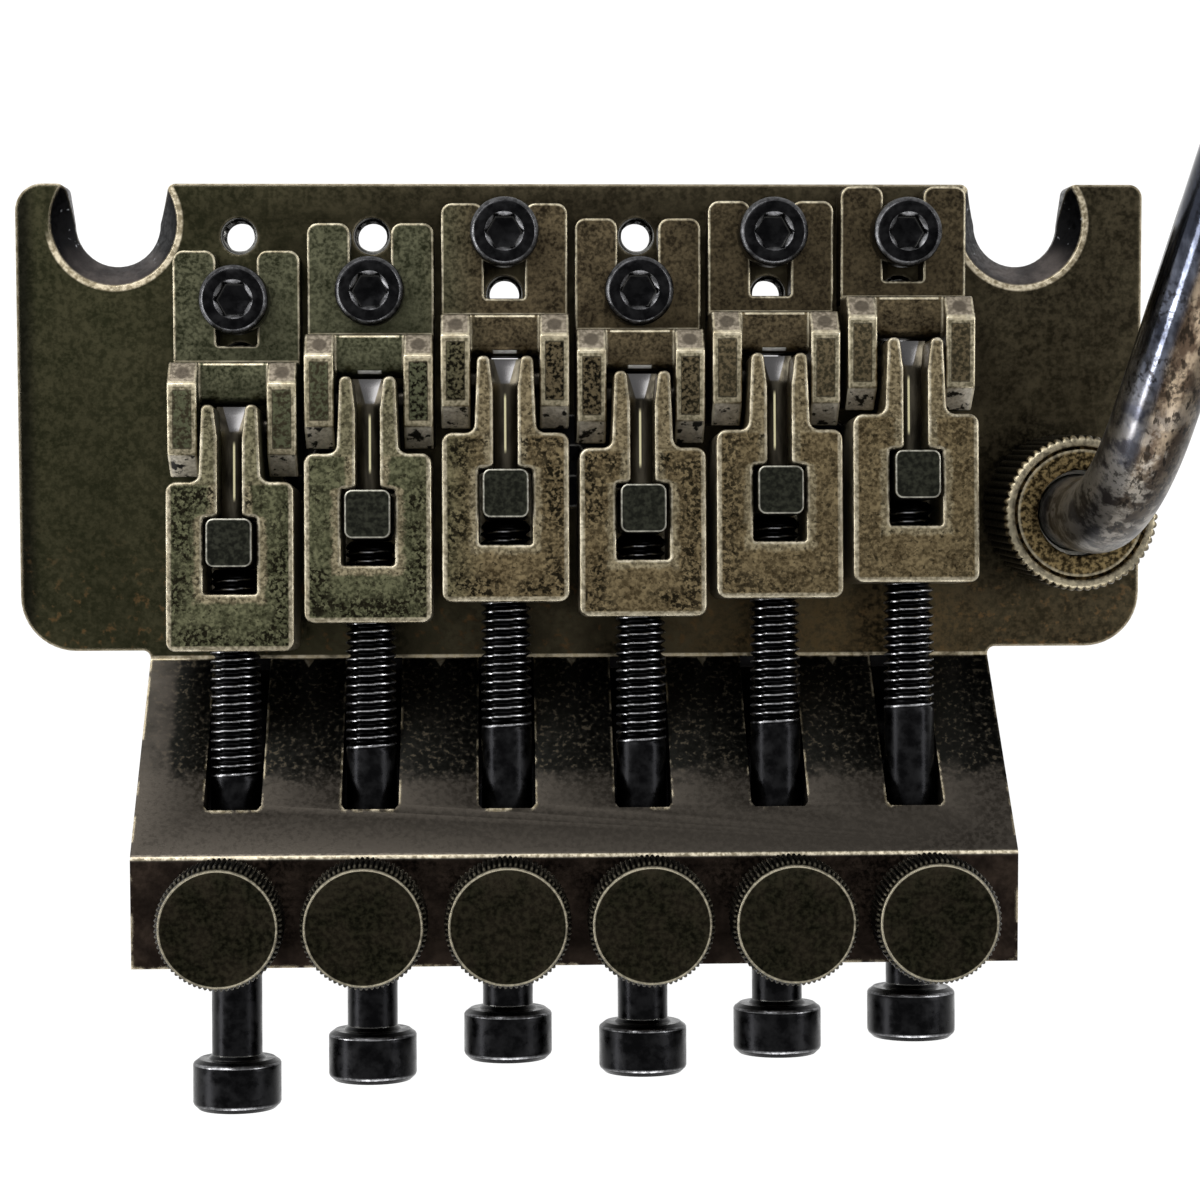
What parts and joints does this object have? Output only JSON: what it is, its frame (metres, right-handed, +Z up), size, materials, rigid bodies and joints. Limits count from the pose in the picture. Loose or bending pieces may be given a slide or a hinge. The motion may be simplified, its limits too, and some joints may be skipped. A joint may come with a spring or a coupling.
{
  "type": "guitar tremolo bridge",
  "caption": "Electric guitar tremolo bridge: bent knife-edge base plate with locking saddles, fine tuners, a sustain block and a swinging arm.",
  "frame": {"origin": "midway between the two knife-edge notches, on the underside of the plate, in line with both studs", "axes": "+X to the treble side where the arm is, +Y to the front towards the neck, +Z up from the guitar's body"},
  "size_m": [0.1129, 0.1808, 0.1083],
  "materials": {
    "plate": "aged black nickel, worn bright on its edges",
    "saddle": "aged black nickel with olive patina",
    "jaw": "aged black nickel with olive patina",
    "black_steel": "black oxide, worn on its edges",
    "pin": "ground steel",
    "tuner": "aged black nickel, straight knurl",
    "spring_steel": "blued spring steel",
    "block": "machined steel",
    "socket": "plated steel",
    "collar": "aged black nickel, knurled, brassy where it is worn",
    "washer": "nylon",
    "arm": "aged black chrome, pitted"
  },
  "bodies": {
    "base": {"base_plate": "plate", "sustain_block": "block", "block_screws": "black_steel", "saddle_screws": "black_steel", "fine_tuner_spring": "spring_steel", "spring_finger_1": "spring_steel", "spring_finger_2": "spring_steel", "spring_finger_3": "spring_steel", "spring_finger_4": "spring_steel", "spring_finger_5": "spring_steel", "spring_finger_6": "spring_steel", "spring_screws": "black_steel", "arm_socket": "socket", "arm_socket_nut": "socket"},
    "saddle_1": {"saddle_1": "saddle", "saddle_pin_1": "pin"},
    "jaw_1": {"saddle_jaw_1": "jaw"},
    "insert_1": {"string_insert_1": "black_steel"},
    "lock_screw_1": {"lock_screw_1": "black_steel"},
    "tuner_stem_1": {"fine_tuner_stem_1": "tuner"},
    "tuner_knob_1": {"fine_tuner_knob_1": "tuner"},
    "saddle_2": {"saddle_2": "saddle", "saddle_pin_2": "pin"},
    "jaw_2": {"saddle_jaw_2": "jaw"},
    "insert_2": {"string_insert_2": "black_steel"},
    "lock_screw_2": {"lock_screw_2": "black_steel"},
    "tuner_stem_2": {"fine_tuner_stem_2": "tuner"},
    "tuner_knob_2": {"fine_tuner_knob_2": "tuner"},
    "saddle_3": {"saddle_3": "saddle", "saddle_pin_3": "pin"},
    "jaw_3": {"saddle_jaw_3": "jaw"},
    "insert_3": {"string_insert_3": "black_steel"},
    "lock_screw_3": {"lock_screw_3": "black_steel"},
    "tuner_stem_3": {"fine_tuner_stem_3": "tuner"},
    "tuner_knob_3": {"fine_tuner_knob_3": "tuner"},
    "saddle_4": {"saddle_4": "saddle", "saddle_pin_4": "pin"},
    "jaw_4": {"saddle_jaw_4": "jaw"},
    "insert_4": {"string_insert_4": "black_steel"},
    "lock_screw_4": {"lock_screw_4": "black_steel"},
    "tuner_stem_4": {"fine_tuner_stem_4": "tuner"},
    "tuner_knob_4": {"fine_tuner_knob_4": "tuner"},
    "saddle_5": {"saddle_5": "saddle", "saddle_pin_5": "pin"},
    "jaw_5": {"saddle_jaw_5": "jaw"},
    "insert_5": {"string_insert_5": "black_steel"},
    "lock_screw_5": {"lock_screw_5": "black_steel"},
    "tuner_stem_5": {"fine_tuner_stem_5": "tuner"},
    "tuner_knob_5": {"fine_tuner_knob_5": "tuner"},
    "saddle_6": {"saddle_6": "saddle", "saddle_pin_6": "pin"},
    "jaw_6": {"saddle_jaw_6": "jaw"},
    "insert_6": {"string_insert_6": "black_steel"},
    "lock_screw_6": {"lock_screw_6": "black_steel"},
    "tuner_stem_6": {"fine_tuner_stem_6": "tuner"},
    "tuner_knob_6": {"fine_tuner_knob_6": "tuner"},
    "arm": {"tremolo_arm": "arm"},
    "arm_washer": {"arm_washer": "washer"},
    "arm_collar": {"arm_collar": "collar"}
  },
  "joints": [
    {"name": "saddle_slide_1", "type": "slide", "parent": "base", "child": "saddle_1", "axis": [0, 1, 0], "range_m": [-0.001, 0.0015]},
    {"name": "jaw_tilt_1", "type": "hinge", "parent": "saddle_1", "child": "jaw_1", "pos_m": [-0.027, -0.0168, 0.007], "axis": [1, 0, 0], "range_deg": [-0.41, 4.07], "deforming": ["spring_finger_1"]},
    {"name": "insert_slide_1", "type": "slide", "parent": "jaw_1", "child": "insert_1", "axis": [0, -0.9976, 0.0698], "range_m": [0, 0.002]},
    {"name": "lock_screw_turn_1", "type": "hinge", "parent": "insert_1", "child": "lock_screw_1", "pos_m": [-0.027, -0.0281, 0.00879], "axis": [0, -0.9976, 0.0698], "range_deg": [0, 1038.86]},
    {"name": "tuner_slide_1", "type": "slide", "parent": "base", "child": "tuner_stem_1", "axis": [0, 0, 1], "range_m": [-0.0025, 0.00025]},
    {"name": "tuner_turn_1", "type": "hinge", "parent": "tuner_stem_1", "child": "tuner_knob_1", "pos_m": [-0.027, -0.05405, 0.021], "axis": [0, 0, 1], "range_deg": [-1136.25, 113.62]},
    {"name": "saddle_slide_2", "type": "slide", "parent": "base", "child": "saddle_2", "axis": [0, 1, 0], "range_m": [-0.0015, 0.0005]},
    {"name": "jaw_tilt_2", "type": "hinge", "parent": "saddle_2", "child": "jaw_2", "pos_m": [-0.0162, -0.0146, 0.007], "axis": [1, 0, 0], "range_deg": [-0.38, 3.83], "deforming": ["spring_finger_2"]},
    {"name": "insert_slide_2", "type": "slide", "parent": "jaw_2", "child": "insert_2", "axis": [0, -0.9976, 0.0698], "range_m": [0, 0.002]},
    {"name": "lock_screw_turn_2", "type": "hinge", "parent": "insert_2", "child": "lock_screw_2", "pos_m": [-0.0162, -0.0259, 0.00879], "axis": [0, -0.9976, 0.0698], "range_deg": [0, 1038.86]},
    {"name": "tuner_slide_2", "type": "slide", "parent": "base", "child": "tuner_stem_2", "axis": [0, 0, 1], "range_m": [-0.0025, 0.00025]},
    {"name": "tuner_turn_2", "type": "hinge", "parent": "tuner_stem_2", "child": "tuner_knob_2", "pos_m": [-0.0162, -0.05405, 0.021], "axis": [0, 0, 1], "range_deg": [-1136.25, 113.62]},
    {"name": "saddle_slide_3", "type": "slide", "parent": "base", "child": "saddle_3", "axis": [0, 1, 0], "range_m": [-0.0015, 0.0015]},
    {"name": "jaw_tilt_3", "type": "hinge", "parent": "saddle_3", "child": "jaw_3", "pos_m": [-0.0054, -0.013, 0.007], "axis": [1, 0, 0], "range_deg": [-0.37, 3.68], "deforming": ["spring_finger_3"]},
    {"name": "insert_slide_3", "type": "slide", "parent": "jaw_3", "child": "insert_3", "axis": [0, -0.9976, 0.0698], "range_m": [0, 0.002]},
    {"name": "lock_screw_turn_3", "type": "hinge", "parent": "insert_3", "child": "lock_screw_3", "pos_m": [-0.0054, -0.0243, 0.00879], "axis": [0, -0.9976, 0.0698], "range_deg": [0, 1038.86]},
    {"name": "tuner_slide_3", "type": "slide", "parent": "base", "child": "tuner_stem_3", "axis": [0, 0, 1], "range_m": [-0.0025, 0.00025]},
    {"name": "tuner_turn_3", "type": "hinge", "parent": "tuner_stem_3", "child": "tuner_knob_3", "pos_m": [-0.0054, -0.05405, 0.021], "axis": [0, 0, 1], "range_deg": [-1136.25, 113.62]},
    {"name": "saddle_slide_4", "type": "slide", "parent": "base", "child": "saddle_4", "axis": [0, 1, 0], "range_m": [-0.0015, 0.00015]},
    {"name": "jaw_tilt_4", "type": "hinge", "parent": "saddle_4", "child": "jaw_4", "pos_m": [0.0054, -0.0142, 0.007], "axis": [1, 0, 0], "range_deg": [-0.38, 3.79], "deforming": ["spring_finger_4"]},
    {"name": "insert_slide_4", "type": "slide", "parent": "jaw_4", "child": "insert_4", "axis": [0, -0.9976, 0.0698], "range_m": [0, 0.002]},
    {"name": "lock_screw_turn_4", "type": "hinge", "parent": "insert_4", "child": "lock_screw_4", "pos_m": [0.0054, -0.0255, 0.00879], "axis": [0, -0.9976, 0.0698], "range_deg": [0, 1038.86]},
    {"name": "tuner_slide_4", "type": "slide", "parent": "base", "child": "tuner_stem_4", "axis": [0, 0, 1], "range_m": [-0.0025, 0.00025]},
    {"name": "tuner_turn_4", "type": "hinge", "parent": "tuner_stem_4", "child": "tuner_knob_4", "pos_m": [0.0054, -0.05405, 0.021], "axis": [0, 0, 1], "range_deg": [-1136.25, 113.62]},
    {"name": "saddle_slide_5", "type": "slide", "parent": "base", "child": "saddle_5", "axis": [0, 1, 0], "range_m": [-0.0015, 0.0015]},
    {"name": "jaw_tilt_5", "type": "hinge", "parent": "saddle_5", "child": "jaw_5", "pos_m": [0.0162, -0.0128, 0.007], "axis": [1, 0, 0], "range_deg": [-0.37, 3.66], "deforming": ["spring_finger_5"]},
    {"name": "insert_slide_5", "type": "slide", "parent": "jaw_5", "child": "insert_5", "axis": [0, -0.9976, 0.0698], "range_m": [0, 0.002]},
    {"name": "lock_screw_turn_5", "type": "hinge", "parent": "insert_5", "child": "lock_screw_5", "pos_m": [0.0162, -0.0241, 0.00879], "axis": [0, -0.9976, 0.0698], "range_deg": [0, 1038.86]},
    {"name": "tuner_slide_5", "type": "slide", "parent": "base", "child": "tuner_stem_5", "axis": [0, 0, 1], "range_m": [-0.0025, 0.00025]},
    {"name": "tuner_turn_5", "type": "hinge", "parent": "tuner_stem_5", "child": "tuner_knob_5", "pos_m": [0.0162, -0.05405, 0.021], "axis": [0, 0, 1], "range_deg": [-1136.25, 113.62]},
    {"name": "saddle_slide_6", "type": "slide", "parent": "base", "child": "saddle_6", "axis": [0, 1, 0], "range_m": [-0.0015, 0.0015]},
    {"name": "jaw_tilt_6", "type": "hinge", "parent": "saddle_6", "child": "jaw_6", "pos_m": [0.027, -0.0116, 0.007], "axis": [1, 0, 0], "range_deg": [-0.36, 3.55], "deforming": ["spring_finger_6"]},
    {"name": "insert_slide_6", "type": "slide", "parent": "jaw_6", "child": "insert_6", "axis": [0, -0.9976, 0.0698], "range_m": [0, 0.002]},
    {"name": "lock_screw_turn_6", "type": "hinge", "parent": "insert_6", "child": "lock_screw_6", "pos_m": [0.027, -0.0229, 0.00879], "axis": [0, -0.9976, 0.0698], "range_deg": [0, 1038.86]},
    {"name": "tuner_slide_6", "type": "slide", "parent": "base", "child": "tuner_stem_6", "axis": [0, 0, 1], "range_m": [-0.0025, 0.00025]},
    {"name": "tuner_turn_6", "type": "hinge", "parent": "tuner_stem_6", "child": "tuner_knob_6", "pos_m": [0.027, -0.05405, 0.021], "axis": [0, 0, 1], "range_deg": [-1136.25, 113.62]},
    {"name": "arm_swing", "type": "hinge", "parent": "base", "child": "arm", "pos_m": [0.0403, -0.0237, 0], "axis": [0, 0, 1], "continuous": true},
    {"name": "collar_lift", "type": "slide", "parent": "base", "child": "arm_washer", "axis": [0, 0, 1], "range_m": [0, 0.0015]},
    {"name": "collar_turn", "type": "hinge", "parent": "arm_washer", "child": "arm_collar", "pos_m": [0.0403, -0.0237, 0.008], "axis": [0, 0, 1], "range_deg": [0, 727.2]}
  ],
  "couplings": [
    {"joint": "tuner_turn_1", "follows": "tuner_slide_1", "rad_per_m": 7854},
    {"joint": "jaw_tilt_1", "follows": "tuner_slide_1", "rad_per_m": -28.129},
    {"joint": "lock_screw_turn_1", "follows": "insert_slide_1", "rad_per_m": 8976},
    {"joint": "tuner_turn_2", "follows": "tuner_slide_2", "rad_per_m": 7854},
    {"joint": "jaw_tilt_2", "follows": "tuner_slide_2", "rad_per_m": -26.49},
    {"joint": "lock_screw_turn_2", "follows": "insert_slide_2", "rad_per_m": 8976},
    {"joint": "tuner_turn_3", "follows": "tuner_slide_3", "rad_per_m": 7854},
    {"joint": "jaw_tilt_3", "follows": "tuner_slide_3", "rad_per_m": -25.413},
    {"joint": "lock_screw_turn_3", "follows": "insert_slide_3", "rad_per_m": 8976},
    {"joint": "tuner_turn_4", "follows": "tuner_slide_4", "rad_per_m": 7854},
    {"joint": "jaw_tilt_4", "follows": "tuner_slide_4", "rad_per_m": -26.212},
    {"joint": "lock_screw_turn_4", "follows": "insert_slide_4", "rad_per_m": 8976},
    {"joint": "tuner_turn_5", "follows": "tuner_slide_5", "rad_per_m": 7854},
    {"joint": "jaw_tilt_5", "follows": "tuner_slide_5", "rad_per_m": -25.284},
    {"joint": "lock_screw_turn_5", "follows": "insert_slide_5", "rad_per_m": 8976},
    {"joint": "tuner_turn_6", "follows": "tuner_slide_6", "rad_per_m": 7854},
    {"joint": "jaw_tilt_6", "follows": "tuner_slide_6", "rad_per_m": -24.54},
    {"joint": "lock_screw_turn_6", "follows": "insert_slide_6", "rad_per_m": 8976},
    {"joint": "collar_turn", "follows": "collar_lift", "rad_per_m": 8377.6}
  ]
}
